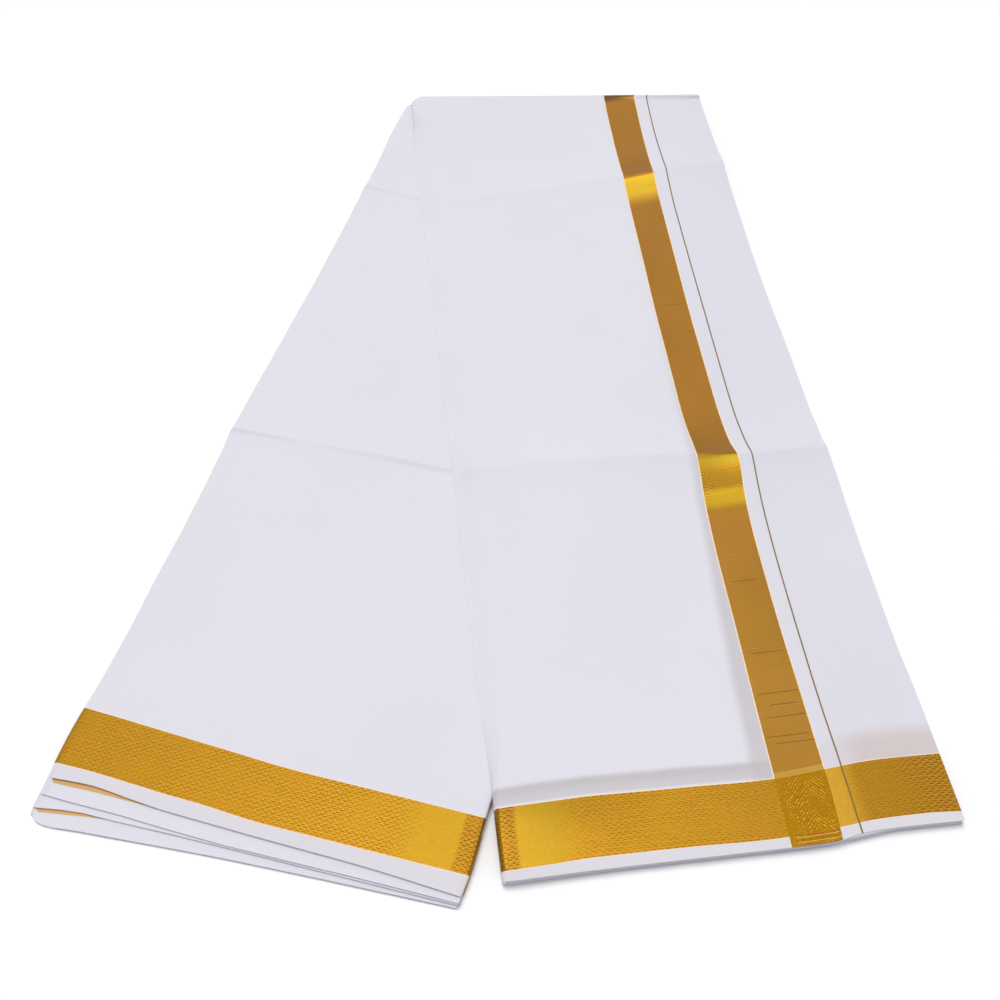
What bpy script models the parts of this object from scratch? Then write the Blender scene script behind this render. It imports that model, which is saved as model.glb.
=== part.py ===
# A dhoti: one long cotton cloth with zari borders along both selvedges and a
# zari band across its end. It is folded four times into a strip of sixteen
# layers, and the strip is folded over in its middle, a little askew, so that
# its two halves lie on the table as the legs of an inverted V. The right leg
# is the upper one and lies partly on the left leg.
#
# Places on a leg are given as (across, along): across its middle line, and
# along it from the fold. A third value, level, is the height in the stack,
# counted from the side of the strip that faces inwards at the fold.

import math

import bmesh
import bpy

# Driving dimensions, in metres and degrees.
CLOTH_LENGTH = 3.60
CLOTH_WIDTH = 1.27
LAYERS_IN_STRIP = 16
HALF_ANGLE = math.radians(10.86)
WALL = 0.0011
SEAM = 0.0003
SLIT_BETWEEN_LEGS = 0.0007
UPPER_HEM = 0.625
BORDER_WIDTH = 0.0312
SELVEDGE_WIDTH = 0.0068
BAND_WIDTH = 0.0240
BAND_EDGE_AT_FOLD = 0.0425
BAND_EDGE_AT_HEM = 0.0290
TURNED_EDGE_RADIUS = 0.0020
FOLD_AXIS = -0.0031
FOLD_CORNER_INSET = 0.0055
FOLD_CORNER_REACH = 0.024
DRAPE_START = 0.002
DRAPE_RUN = 0.040
HEM_CORNER_DROOP = 0.8
HEM_CORNER_RUN = 0.035
INNER_LAYERS_END = 0.560
EDGE_CLEARANCE = 0.0014

# How closely the surfaces are divided.
PANEL_COLUMNS = 12
BAND_COLUMNS = 2
SIDE_COLUMNS = 4
COARSE_STEP = 0.032
CREASE_STEPS = {"upper": 3, "lower": 2}
BEND_STEPS = 8
TURN_STEPS = 4
ROWS_TURN_FROM = 0.015
ROWS_TURN_OVER = 0.050

# Worked out from them.
STRIP_WIDTH = CLOTH_LENGTH / LAYERS_IN_STRIP
HALF_WIDTH = STRIP_WIDTH / 2
PACKING_FOLD = CLOTH_WIDTH / 5
WALLS_IN_STACK = 4
PITCH = WALL + SEAM
STACK = WALLS_IN_STACK * PITCH - SEAM
INNER_RADIUS = SLIT_BETWEEN_LEGS / 2
FOLD_HEIGHT = STACK + INNER_RADIUS
LEG_LIFT = STACK + SLIT_BETWEEN_LEGS
LEG_START = -FOLD_AXIS / math.cos(HALF_ANGLE)
UPPER_BORDER = UPPER_HEM - SELVEDGE_WIDTH - BORDER_WIDTH
UPPER_SELVEDGE = UPPER_HEM - SELVEDGE_WIDTH
TURN_CENTRE = TURNED_EDGE_RADIUS - HALF_WIDTH
STACK_SIDE = TURN_CENTRE + EDGE_CLEARANCE
LOWER_HEM = CLOTH_WIDTH - UPPER_HEM - math.pi * FOLD_HEIGHT / 4

# The press creases left by the packing folds, as soft ridges across each leg.
CREASES = {
    "upper": (
        {"along": UPPER_HEM - PACKING_FOLD, "spread": 0.045, "at_left": 0.0030, "at_right": 0.0075},
        {"along": UPPER_HEM - 2 * PACKING_FOLD, "spread": 0.042, "at_left": 0.0020, "at_right": 0.0045},
    ),
    "lower": (
        {"along": LOWER_HEM - PACKING_FOLD, "spread": 0.040, "at_left": 0.0028, "at_right": 0.0028},
        {"along": LOWER_HEM - 2 * PACKING_FOLD, "spread": 0.036, "at_left": 0.0022, "at_right": 0.0022},
    ),
}

# Where each fanned layer of the lower leg ends, from its top layer down:
# the distance from the fold at the left edge, in the middle and at the right.
LOWER_HEMS = (
    {"left": 0.6248, "middle": 0.6280, "right": 0.6300},
    {"left": 0.6340, "middle": 0.6352, "right": 0.6350},
    {"left": 0.6412, "middle": 0.6376, "right": 0.6364},
    {"left": 0.6494, "middle": 0.6416, "right": 0.6386},
)

# How far short of its top layer the hidden layers of the upper leg stop.
UPPER_HEM_SHORTFALLS = (0.0010, 0.0004, 0.0014)

# The nests of turned layers at the strip's open edge, inner side first: how
# many cloth layers each holds, out of the twelve under the outer wall.
OPEN_EDGE_NESTS = (6, 4, 2)
NEST_GROOVE = 0.0011

MATERIALS = {
    "cotton": {"colour": (0.77, 0.75, 0.83), "roughness": 0.85, "metallic": 0.0},
    "border zari": {"colour": (0.66, 0.37, 0.035), "roughness": 0.38, "metallic": 0.6},
    "band zari": {"colour": (0.42, 0.20, 0.028), "roughness": 0.36, "metallic": 0.6},
}


def remove_everything():
    for item in list(bpy.data.objects):
        bpy.data.objects.remove(item)


def make_material(name):
    values = MATERIALS[name]
    material = bpy.data.materials.new(name)
    material.use_nodes = True
    shader = material.node_tree.nodes["Principled BSDF"]
    shader.inputs["Base Color"].default_value = (*values["colour"], 1.0)
    shader.inputs["Roughness"].default_value = values["roughness"]
    shader.inputs["Metallic"].default_value = values["metallic"]
    return material


def smooth_step(value):
    value = min(max(value, 0.0), 1.0)
    return value * value * (3.0 - 2.0 * value)


def mix(start, end, share):
    return start + (end - start) * share


# ---- heights of the two legs ----


def ridge_height(leg, across, along):
    height = 0.0
    for crease in CREASES[leg]:
        distance = abs(along - crease["along"]) / crease["spread"]
        if distance < 1.0:
            crest = mix(crease["at_left"], crease["at_right"], across / STRIP_WIDTH + 0.5)
            height += crest * (1.0 - distance) ** 2
    return height


def upper_place(across, along):
    x = along * math.sin(HALF_ANGLE) + across * math.cos(HALF_ANGLE)
    y = across * math.sin(HALF_ANGLE) - along * math.cos(HALF_ANGLE)
    return x, y


def lower_place(across, along):
    x = across * math.cos(HALF_ANGLE) - along * math.sin(HALF_ANGLE)
    y = -across * math.sin(HALF_ANGLE) - along * math.cos(HALF_ANGLE)
    return x, y


def upper_underside(across, along):
    # The upper leg lies on the lower one, and past its edge sinks to the table.
    x, y = upper_place(across, along)
    past_lower_leg = x * math.cos(HALF_ANGLE) - y * math.sin(HALF_ANGLE) - HALF_WIDTH
    lift = LEG_LIFT * (1.0 - smooth_step((past_lower_leg - DRAPE_START) / DRAPE_RUN))
    free_length = along - (UPPER_HEM - HEM_CORNER_RUN)
    return lift * (1.0 - HEM_CORNER_DROOP * smooth_step(free_length / HEM_CORNER_RUN))


def lower_top(across, along):
    # The creases fade out where the upper leg presses on the lower one.
    x, y = lower_place(across, along)
    clear_of_upper_leg = -HALF_WIDTH - x * math.cos(HALF_ANGLE) - y * math.sin(HALF_ANGLE)
    shown = smooth_step((clear_of_upper_leg - 0.004) / 0.040)
    return STACK + ridge_height("lower", across, along) * shown


# ---- stations along the strip ----
# A station is a row of places across the strip. "upper" and "lower" stations
# lie on a leg, and "bend" stations run round the fold from its top, at 90
# degrees, to the table, at -90 degrees.


def leg_station(leg, start):
    # Rows lie along the fold near it, and square across the leg away from it.
    askew = 1.0 - smooth_step((start - ROWS_TURN_FROM) / ROWS_TURN_OVER)
    lean = math.tan(HALF_ANGLE) * askew * (1.0 if leg == "upper" else -1.0)
    return {"part": leg, "along": lambda across: start + across * lean}


def line_station(leg, left, middle, right):
    # A gently curved line across the leg through three places.
    def along(across):
        share = across / HALF_WIDTH
        return middle + share * (right - left) / 2 + share * share * ((left + right) / 2 - middle)

    return {"part": leg, "along": along}


def straight_station(leg, distance):
    return line_station(leg, distance, distance, distance)


def bend_station(angle):
    return {"part": "bend", "angle": angle}


def steps_between(start, end, step):
    count = max(1, math.ceil((end - start) / step - 0.001))
    return [mix(start, end, i / count) for i in range(count)]


def leg_distances(leg, start, end):
    places = []
    here = start
    for crease in sorted(CREASES[leg], key=lambda item: item["along"]):
        foot = crease["along"] - crease["spread"]
        fine_step = crease["spread"] / CREASE_STEPS[leg]
        places += steps_between(here, foot, COARSE_STEP)
        places += steps_between(foot, crease["along"], fine_step)
        here = crease["along"] + crease["spread"]
        places += steps_between(crease["along"], here, fine_step)
    return places + steps_between(here, end, COARSE_STEP) + [end]


def upper_stations():
    distances = leg_distances("upper", LEG_START, INNER_LAYERS_END)
    return [leg_station("upper", distance) for distance in distances]


def bend_stations():
    angles = [mix(-math.pi / 2, math.pi / 2, i / BEND_STEPS) for i in range(BEND_STEPS)]
    return [bend_station(angle) for angle in angles]


# ---- from strip to space ----


def place_on_bend(across, level, angle):
    radius = INNER_RADIUS + level
    shift = FOLD_AXIS * math.tan(HALF_ANGLE) * (-2.0 * angle / math.pi)
    near_edge = smooth_step((abs(across) - HALF_WIDTH + FOLD_CORNER_REACH) / FOLD_CORNER_REACH)
    inset = FOLD_CORNER_INSET * near_edge * max(math.cos(angle), 0.0) ** 1.5
    x = across / math.cos(HALF_ANGLE) + shift - math.copysign(inset, across)
    y = FOLD_AXIS + radius * math.cos(angle)
    return x, y, FOLD_HEIGHT + radius * math.sin(angle)


def place(station, across, level):
    if station["part"] == "bend":
        return place_on_bend(across, level, station["angle"])
    along = station["along"](across)
    if station["part"] == "upper":
        x, y = upper_place(across, along)
        underside = upper_underside(across, along)
        swell = ridge_height("upper", across, along)
        height = level
    else:
        x, y = lower_place(across, along)
        underside = 0.0
        swell = lower_top(across, along) - STACK
        height = STACK - level
    return x, y, underside + height + swell * min(height / (STACK - PITCH), 1.0)


def band_edge(station):
    if station["part"] == "bend":
        return BAND_EDGE_AT_FOLD
    along = station["along"](BAND_EDGE_AT_FOLD)
    sign = 1.0 if station["part"] == "upper" else -1.0
    return mix(BAND_EDGE_AT_FOLD, BAND_EDGE_AT_HEM, sign * along / UPPER_HEM)


def columns(station):
    # Shared lines along the strip: the panel, the band and the outer side.
    edge = band_edge(station)
    zones = (
        (TURN_CENTRE, edge, PANEL_COLUMNS),
        (edge, edge + BAND_WIDTH, BAND_COLUMNS),
        (edge + BAND_WIDTH, HALF_WIDTH, SIDE_COLUMNS),
    )
    lines = [mix(left, right, i / count) for left, right, count in zones for i in range(count)]
    return lines + [HALF_WIDTH]


def turned_edge(depth, visible_level):
    # The closed edge of the strip: its outer layer turned down to the far side.
    points = []
    for i in range(TURN_STEPS):
        angle = math.pi * (i / TURN_STEPS - 0.5)
        rise = (STACK / 2 - depth) * math.sin(angle)
        level = STACK / 2 + (rise if visible_level > 0.0 else -rise)
        points.append((TURN_CENTRE - (TURNED_EDGE_RADIUS - depth) * math.cos(angle), level))
    return points


# ---- solids ----


def close_end(shape, ring, width):
    # Across the wall first, then round the nests from groove to groove.
    size = len(ring)
    for i in range(width - 2):
        shape.faces.new((ring[i], ring[i + 1], ring[size - 2 - i], ring[size - 1 - i]))
    inner_upper, inner_lower = ring[width - 2], ring[size - width + 1]
    if size == 2 * width:
        shape.faces.new((inner_upper, ring[width - 1], ring[width], inner_lower))
        return
    for i in range(width - 1, size - width, 3):
        shape.faces.new(ring[i:i + 4])
        shape.faces.new((inner_upper, ring[i], ring[i + 3]))
    shape.faces.new((inner_upper, ring[size - width], inner_lower))


def build_solid(name, rows, material):
    # Each row has an upper and a lower line with the same count of points and,
    # for a layered edge, the points between their ends.
    mesh = bpy.data.meshes.new(name)
    shape = bmesh.new()
    rings = []
    for row in rows:
        outline = row["upper"] + row["edge"] + row["lower"][::-1]
        rings.append([shape.verts.new(point) for point in outline])
    size = len(rings[0])
    width = len(rows[0]["upper"])
    for ring, following in zip(rings, rings[1:]):
        for i in range(size):
            # Both faces of a wall are split along the same diagonal.
            j = (i + 1) % size
            corners = (ring[i], following[i], following[j], ring[j])
            turn = 1 if i >= size - width else 0
            shape.faces.new([corners[(k + turn) % 4] for k in (0, 1, 2)])
            shape.faces.new([corners[(k + turn) % 4] for k in (0, 2, 3)])
    for ring in (rings[0], rings[-1]):
        close_end(shape, ring, width)
    bmesh.ops.triangulate(shape, faces=shape.faces)
    bmesh.ops.recalc_face_normals(shape, faces=shape.faces)
    shape.to_mesh(mesh)
    shape.free()
    mesh.shade_smooth()
    mesh.set_sharp_from_angle(angle=math.radians(40))
    mesh.materials.append(material)
    piece = bpy.data.objects.new(name, mesh)
    bpy.context.collection.objects.link(piece)
    return piece


def wall_row(station, first, last, levels, turned=False):
    # One row of a wall between two of the shared lines, clear of its neighbours.
    lines = columns(station)[first:last + 1]
    if first > 0:
        lines[0] += SEAM / 2
    if last < PANEL_COLUMNS + BAND_COLUMNS + SIDE_COLUMNS:
        lines[-1] -= SEAM / 2
    row = {"edge": []}
    for side, level, depth in (("upper", levels[0], 0.0), ("lower", levels[1], WALL)):
        points = [(across, level) for across in lines]
        if turned:
            points = turned_edge(depth, levels[0]) + points
        row[side] = [place(station, across, height) for across, height in points]
    return row


def add_wall(name, stations, first, last, levels, material, turned=False):
    rows = [wall_row(station, first, last, levels, turned) for station in stations]
    return build_solid(name, rows, material)


def layered_row(station, inner_level, outer_level):
    # One row of the hidden layers, with their nests showing at the open edge.
    lines = [STACK_SIDE] + columns(station)[1:]
    lines[-1] = HALF_WIDTH - NEST_GROOVE
    edge = []
    level = outer_level
    for nest in reversed(OPEN_EDGE_NESTS):
        share = (outer_level - inner_level) * nest / sum(OPEN_EDGE_NESTS)
        edge += [(HALF_WIDTH - SEAM, level - share * 0.25), (HALF_WIDTH - SEAM, level - share * 0.75)]
        edge.append((HALF_WIDTH - NEST_GROOVE, level - share))
        level -= share
    return {
        "upper": [place(station, across, outer_level) for across in lines],
        "edge": [place(station, across, height) for across, height in edge[:-1]],
        "lower": [place(station, across, inner_level) for across in lines],
    }


def add_inner_layers(material):
    # The hidden layers, as one solid from hem to hem round the fold.
    rows = []
    for distance in reversed(leg_distances("lower", LEG_START + 2 * SEAM, INNER_LAYERS_END)):
        rows.append(layered_row(leg_station("lower", distance), PITCH, STACK))
    rows.append(layered_row(leg_station("lower", LEG_START + SEAM), 0.0, STACK - PITCH))
    for station in bend_stations() + upper_stations():
        rows.append(layered_row(station, 0.0, STACK - PITCH))
    return build_solid("inner_layers", rows, material)


def add_upper_leg(cotton, border, band):
    panel_end = PANEL_COLUMNS
    band_end = PANEL_COLUMNS + BAND_COLUMNS
    side_end = band_end + SIDE_COLUMNS
    outer = (STACK, STACK - WALL)
    to_border = bend_stations() + upper_stations()
    to_border.append(straight_station("upper", UPPER_BORDER - SEAM))
    border_rows = [straight_station("upper", UPPER_BORDER), straight_station("upper", UPPER_SELVEDGE - SEAM)]
    hem_rows = [straight_station("upper", UPPER_SELVEDGE), straight_station("upper", UPPER_HEM)]
    band_rows = [straight_station("upper", UPPER_BORDER), straight_station("upper", UPPER_HEM)]
    add_wall("upper_leg_panel", to_border, 0, panel_end, outer, cotton, turned=True)
    add_wall("cross_band", to_border, panel_end, band_end, outer, band)
    add_wall("upper_leg_side", to_border, band_end, side_end, outer, cotton)
    add_wall("upper_leg_border", border_rows, 0, panel_end, outer, border, turned=True)
    add_wall("band_crossing", band_rows, panel_end, band_end, outer, band)
    add_wall("upper_leg_border_side", border_rows, band_end, side_end, outer, border)
    add_wall("upper_leg_selvedge", hem_rows, 0, panel_end, outer, cotton, turned=True)
    add_wall("upper_leg_selvedge_side", hem_rows, band_end, side_end, outer, cotton)
    for number, shortfall in enumerate(UPPER_HEM_SHORTFALLS, start=2):
        level = STACK - (number - 1) * PITCH
        distances = (INNER_LAYERS_END + SEAM, UPPER_BORDER, UPPER_SELVEDGE, UPPER_HEM - shortfall)
        rows = [straight_station("upper", distance) for distance in distances]
        add_hem_layer("upper_leg_layer_%d" % number, rows, (level, level - WALL), cotton)


def add_hem_layer(name, stations, levels, material):
    rows = []
    for station in stations:
        lines = [STACK_SIDE] + columns(station)[1:]
        row = {"edge": []}
        row["upper"] = [place(station, across, levels[0]) for across in lines]
        row["lower"] = [place(station, across, levels[1]) for across in lines]
        rows.append(row)
    return build_solid(name, rows, material)


def lower_hem_station(hem, distance):
    return line_station("lower", *(hem[key] - distance for key in ("left", "middle", "right")))


def add_lower_leg(cotton, border):
    side_end = PANEL_COLUMNS + BAND_COLUMNS + SIDE_COLUMNS
    inner = (0.0, WALL)
    distances = leg_distances("lower", LEG_START + 3 * SEAM, INNER_LAYERS_END)
    hem = LOWER_HEMS[0]
    to_border = [leg_station("lower", distance) for distance in distances]
    to_border.append(lower_hem_station(hem, SELVEDGE_WIDTH + BORDER_WIDTH + SEAM))
    border_rows = [lower_hem_station(hem, SELVEDGE_WIDTH + BORDER_WIDTH),
                   lower_hem_station(hem, SELVEDGE_WIDTH + SEAM)]
    hem_rows = [lower_hem_station(hem, SELVEDGE_WIDTH), lower_hem_station(hem, 0.0)]
    add_wall("lower_leg_panel", to_border[::-1], 0, side_end, inner, cotton, turned=True)
    add_wall("lower_leg_border", border_rows, 0, side_end, inner, border, turned=True)
    add_wall("lower_leg_selvedge", hem_rows, 0, side_end, inner, cotton, turned=True)
    for number, hem in enumerate(LOWER_HEMS[1:], start=2):
        level = (number - 1) * PITCH
        levels = (level, level + WALL)
        name = "lower_leg_layer_%d" % number
        under_border = [straight_station("lower", INNER_LAYERS_END + SEAM),
                        lower_hem_station(hem, SELVEDGE_WIDTH + SEAM)]
        at_hem = [lower_hem_station(hem, SELVEDGE_WIDTH), lower_hem_station(hem, 0.0)]
        add_hem_layer(name + "_border", under_border, levels, border)
        add_hem_layer(name + "_selvedge", at_hem, levels, cotton)


def centre_on_origin():
    # The origin is the middle of the whole footprint, on the table.
    places = [vertex.co for piece in bpy.data.objects for vertex in piece.data.vertices]
    middle_x = (min(p.x for p in places) + max(p.x for p in places)) / 2
    middle_y = (min(p.y for p in places) + max(p.y for p in places)) / 2
    for piece in bpy.data.objects:
        for vertex in piece.data.vertices:
            vertex.co.x -= middle_x
            vertex.co.y -= middle_y


def main():
    remove_everything()
    cotton = make_material("cotton")
    border = make_material("border zari")
    band = make_material("band zari")
    add_upper_leg(cotton, border, band)
    add_lower_leg(cotton, border)
    add_inner_layers(cotton)
    centre_on_origin()


main()
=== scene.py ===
import math

import bmesh
import bpy
from mathutils import Matrix, Vector, noise


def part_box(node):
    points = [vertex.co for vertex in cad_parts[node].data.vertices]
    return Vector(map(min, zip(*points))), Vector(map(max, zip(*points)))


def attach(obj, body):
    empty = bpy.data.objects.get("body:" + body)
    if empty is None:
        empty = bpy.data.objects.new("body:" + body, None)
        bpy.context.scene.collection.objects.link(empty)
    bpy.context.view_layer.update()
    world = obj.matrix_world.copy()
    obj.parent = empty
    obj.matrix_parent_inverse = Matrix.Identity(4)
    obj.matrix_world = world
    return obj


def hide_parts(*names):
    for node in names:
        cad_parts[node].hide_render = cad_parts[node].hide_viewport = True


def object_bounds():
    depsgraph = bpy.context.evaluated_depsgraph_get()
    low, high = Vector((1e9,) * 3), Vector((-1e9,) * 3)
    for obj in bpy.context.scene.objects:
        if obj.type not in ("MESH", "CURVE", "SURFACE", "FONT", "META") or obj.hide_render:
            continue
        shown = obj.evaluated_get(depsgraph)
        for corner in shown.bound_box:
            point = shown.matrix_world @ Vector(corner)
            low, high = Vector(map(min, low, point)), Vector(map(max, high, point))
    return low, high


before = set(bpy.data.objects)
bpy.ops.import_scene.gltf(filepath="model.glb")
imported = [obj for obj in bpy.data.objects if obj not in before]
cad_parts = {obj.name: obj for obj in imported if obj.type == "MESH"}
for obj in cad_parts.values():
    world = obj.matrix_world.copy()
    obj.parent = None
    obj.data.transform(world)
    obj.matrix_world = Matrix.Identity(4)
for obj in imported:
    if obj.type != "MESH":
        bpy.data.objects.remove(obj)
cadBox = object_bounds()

# A dhoti folded into a strip of sixteen layers, and the strip folded over in its
# middle. A place on the strip is (across, along, level): across its middle line,
# along a leg from the fold, and level in the stack from its inner side.
# All lengths are in metres.

strip = {
    "clothLength": 3.60,
    "clothWidth": 1.27,
    "layers": 16,
    "halfAngle": math.radians(10.86),
    "stackHeight": 0.0053,
    "sheetThickness": 0.00027,
    "slit": 0.0007,
    "turnReach": 0.0020,      # how far the closed edge is rounded
    "foldAxis": -0.0031,
    "cornerInset": {"left": 0.0085, "right": 0.0068},      # the fold's rounded corners
    "cornerCut": 0.0078,
    "cornerCutRun": 0.022,
    "cornerReach": 0.024,
    "drapeStart": 0.002,      # where the upper leg sinks off the lower one
    "drapeRun": 0.078,
    "hemDroop": 0.8,
    "hemDroopRun": 0.035,
    "upperHem": 0.625,
    "lowerHem": 0.628,
    "lowerMiddle": 0.3391,    # how far along the cloth the middle of the lower leg's outer layer lies
    "borderWidth": 0.0312,
    "selvedgeWidth": 0.0068,
    "evenTo": 0.560,          # from here the rows follow the hem
    "pressedGap": 0.00003,    # between the two legs, away from the fold
    "innerPress": 0.90,       # how much closer the inner layers lie than the outer two
    "openEdgeInset": 0.0010,
    "lip": 0.0022,            # how far the lowest folds of the closed edge stick out
    "lipHeight": 0.0018,
    # the closed edge's lean, high up and at the hem
    "edgeSlope": {"upper": (0.0150, 0.0016), "lower": (0.0026, 0.0010)},
    "edgeSlopeReach": 0.044,
    "foldBulge": {"left": 0.0008, "right": 0.0030, "run": 0.045},
    "foldSkew": 0.0014,
}
# Where each change starts and how long it takes: along a leg, or across it, or clear of the other leg.
runs = {
    "gapCloses": (0.0, 0.040),
    "leanEases": (0.50, 0.10),
    "leanStarts": (0.004, 0.022),
    "lipStarts": (0.006, 0.024),
    "fanOpens": (0.606, 0.022),
    "fanEnds": (-0.10, 0.06),
    "hemNears": (0.606, 0.014),
    "wavesStart": (0.010, 0.040),
    "wavesEnd": (0.590, 0.050),
    "creasesClear": (0.004, 0.040),
    "wavesClear": (-0.002, 0.030),
    "rowsStraighten": (0.015, 0.050),
    "rowsPastCrease": (0.020, 0.050),
    "farSide": (0.62, 0.38),        # in shares of the half width
}
halfWidth = strip["clothLength"] / strip["layers"] / 2
stackHeight = strip["stackHeight"]
layerPitch = stackHeight / strip["layers"]
innerRadius = strip["slit"] / 2
foldHeight = stackHeight + innerRadius
sinHalf, cosHalf = math.sin(strip["halfAngle"]), math.cos(strip["halfAngle"])
turnCentre = strip["turnReach"] - halfWidth
openEdge = halfWidth - strip["openEdgeInset"]
legStart = -strip["foldAxis"] / cosHalf
selvedge = strip["selvedgeWidth"]
borderTop = strip["borderWidth"] + selvedge

# The strip's own origin is the crossing of the two middle lines at the fold.
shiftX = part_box("upper_leg_selvedge_side")[1][0] - (strip["upperHem"] * sinHalf + halfWidth * cosHalf)
shiftY = cadBox[1][1] - (strip["foldAxis"] + innerRadius + stackHeight)

creases = {
    "upper": [
        {"along": 0.3785, "lean": 0.070, "spread": 0.045, "left": 0.0030, "right": 0.0072, "wander": 0.0016},
        {"along": 0.1125, "lean": -0.045, "spread": 0.042, "left": 0.0020, "right": 0.0045, "wander": -0.0012},
    ],
    "lower": [
        {"along": 0.3810, "lean": -0.020, "spread": 0.040, "left": 0.0028, "right": 0.0028, "wander": 0.0012},
        {"along": 0.1430, "lean": 0.090, "spread": 0.036, "left": 0.0022, "right": 0.0022, "wander": 0.0010},
    ],
}
creaseRounding = 0.0011
creaseRows = {"fine": 0.009, "middle": 0.016}     # how close to a crease the rows lie closer together
creasePinch = {"height": 0.20, "reach": 0.28}     # the sharper top of a crease, as shares of the whole
softWaves = {"height": 0.00024, "length": 0.085, "fineHeight": 0.00006, "fineLength": 0.040}

# Hem and border lines, as (across, value) in millimetres.
upperLines = {
    "hem": [(-112.5, 624.3), (-60, 624.0), (-2, 624.7), (50, 625.1), (64, 622.7), (82, 622.0), (112.5, 622.7)],
    "borderLow": [(-112.5, 619.3), (-88, 618.6), (-68, 617.8), (-44, 618.0), (-20, 618.5), (22, 619.9), (57, 618.0),
                  (70, 616.7), (85, 616.5), (100, 616.9), (112.5, 618.0)],
    "borderTop": [(-112.5, 588.9), (-105, 588.7), (-84, 588.0), (-63, 587.0), (-38, 587.1), (-13, 587.9), (27, 589.3),
                  (58, 587.3), (79, 585.9), (112.5, 586.9)],
}
lowerHems = [
    [(-112.5, 624.9), (-91, 623.7), (-80, 624.2), (-67, 625.5), (-49, 627.0), (-28, 627.7), (6, 628.7), (60, 629.9),
     (112.5, 632.6)],
    [(-112.5, 633.7), (-93, 634.3), (-74, 634.2), (-54, 635.1), (-13, 636.2), (8, 636.2), (60, 635.6), (112.5, 635.6)],
    [(-112.5, 641.0), (-109, 640.6), (-97, 638.8), (-85, 637.7), (-66, 637.6), (-40, 637.0), (0, 636.8),
     (112.5, 636.2)],
    [(-112.5, 641.4), (-111.5, 643.4), (-109.5, 646.0), (-107, 647.4), (-103.5, 648.2), (-98, 648.4), (-90, 647.4),
     (-74, 646.3), (-21, 642.6), (31, 640.2), (81, 638.4), (112.5, 637.4)],
]
# How far each leg's outer edge strays, as (along, out) in millimetres.
lowerFlare = [(0, 0.8), (12, 2.6), (26, 3.8), (44, 4.3), (64, 4.0), (92, 2.8), (150, 2.5), (230, 2.5), (262, 3.2),
              (300, 3.9), (350, 5.2), (374, 5.1), (400, 4.3), (425, 3.7), (460, 3.1), (490, 3.5), (530, 3.2),
              (565, 3.4), (590, 4.7), (607, 4.9), (615, 4.1), (623, 2.6), (634, 2.0), (650, 2.0)]
lowerInnerFlare = [(540, 0.0), (585, 1.7), (620, 1.6), (640, 3.3)]
upperFlare = [(160, 0.0), (200, -0.6), (260, -0.6), (290, -0.1), (340, -0.1), (370, -0.5), (384, -1.0), (394, 0.0),
              (408, 0.8), (436, 0.7), (460, 0.3), (522, 0.1), (545, 0.9), (562, 1.3), (590, 1.7), (625, 2.2)]
# The lower leg's border strays from its even width, as (across, towards the fold) in millimetres.
lowerBorderExtra = {
    "top": [(-112.5, 3.3), (-91, 1.0), (-79, 0.9), (-67, 1.4), (-50, 1.8), (-21, 1.1), (6, 0.3), (60, 0.8),
            (112.5, 2.9)],
    "low": [(-112.5, 1.7), (-100, 0.8), (-86, 0.2), (-58, 1.2), (-30, 1.4), (-2, 0.4), (24, 0.7), (60, 1.4),
            (112.5, 4.0)],
}
# How far each fan row reaches out at its own hem, in millimetres.
fanSpread = [0.0, 1.3, 2.0, 2.4]
# How far each layer stops short of its own fan line, from layer 1 to layer 16.
layerShortfalls = [0.0, 0.5, 0.3, 0.2, 0.3, 0.6, 0.4, 0.1, 0.2, 0.6, 0.4, 0.1, 0.5, 0.8, 0.4, 0.0]
# How far the woven border strays under the hem above it, by fan line, in millimetres.
borderDrift = {
    0: [(0, 0.0)],
    1: [(-112.5, 0.0), (-100, 0.6), (-88, 1.1), (-78, 1.0), (-66, 1.1), (-50, 1.6), (-30, 2.4), (112.5, 2.4)],
    2: [(-112.5, 1.0), (112.5, 1.0)],
    3: [(-112.5, -8.0), (-111.3, -6.5), (-109.5, -3.8), (-107, -1.8), (-103.5, -0.5), (-98, 0.4), (-90, 0.7),
        (-74, 1.6), (-60, 2.4), (112.5, 2.4)],
}
# How much sooner the woven border ends where the cloth turns over at the closed edge.
edgeBorder = {"short": 0.0030, "shortAtHem": 0.0075, "inset": 0.0004, "run": 0.0010}
# The numbers between the fan's four rows, and how wide a step between two hems is, in layers.
fanGaps = (12.5, 8.5, 4.5)
hemStep = 0.32


def through(points, x):
    # a smooth curve through a row of points
    if x <= points[0][0]:
        return points[0][1]
    for i in range(len(points) - 1):
        (x0, y0), (x1, y1) = points[i], points[i + 1]
        if x <= x1:
            before = points[i - 1] if i > 0 else points[i]
            after = points[i + 2] if i + 2 < len(points) else points[i + 1]
            slope0 = (y1 - before[1]) / (x1 - before[0])
            slope1 = (after[1] - y0) / (after[0] - x0)
            width = x1 - x0
            t = (x - x0) / width
            return ((2 * t ** 3 - 3 * t ** 2 + 1) * y0 + (t ** 3 - 2 * t ** 2 + t) * width * slope0
                    + (3 * t ** 2 - 2 * t ** 3) * y1 + (t ** 3 - t ** 2) * width * slope1)
    return points[-1][1]


def inMetres(points, place):
    # the same, from a place in metres to a length in metres
    return through(points, place * 1000) / 1000


def smoothStep(value):
    value = min(max(value, 0.0), 1.0)
    return value * value * (3.0 - 2.0 * value)


def eased(value, name):
    start, run = runs[name]
    return smoothStep((value - start) / run)


def mix(start, end, share):
    return start + (end - start) * share


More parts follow.
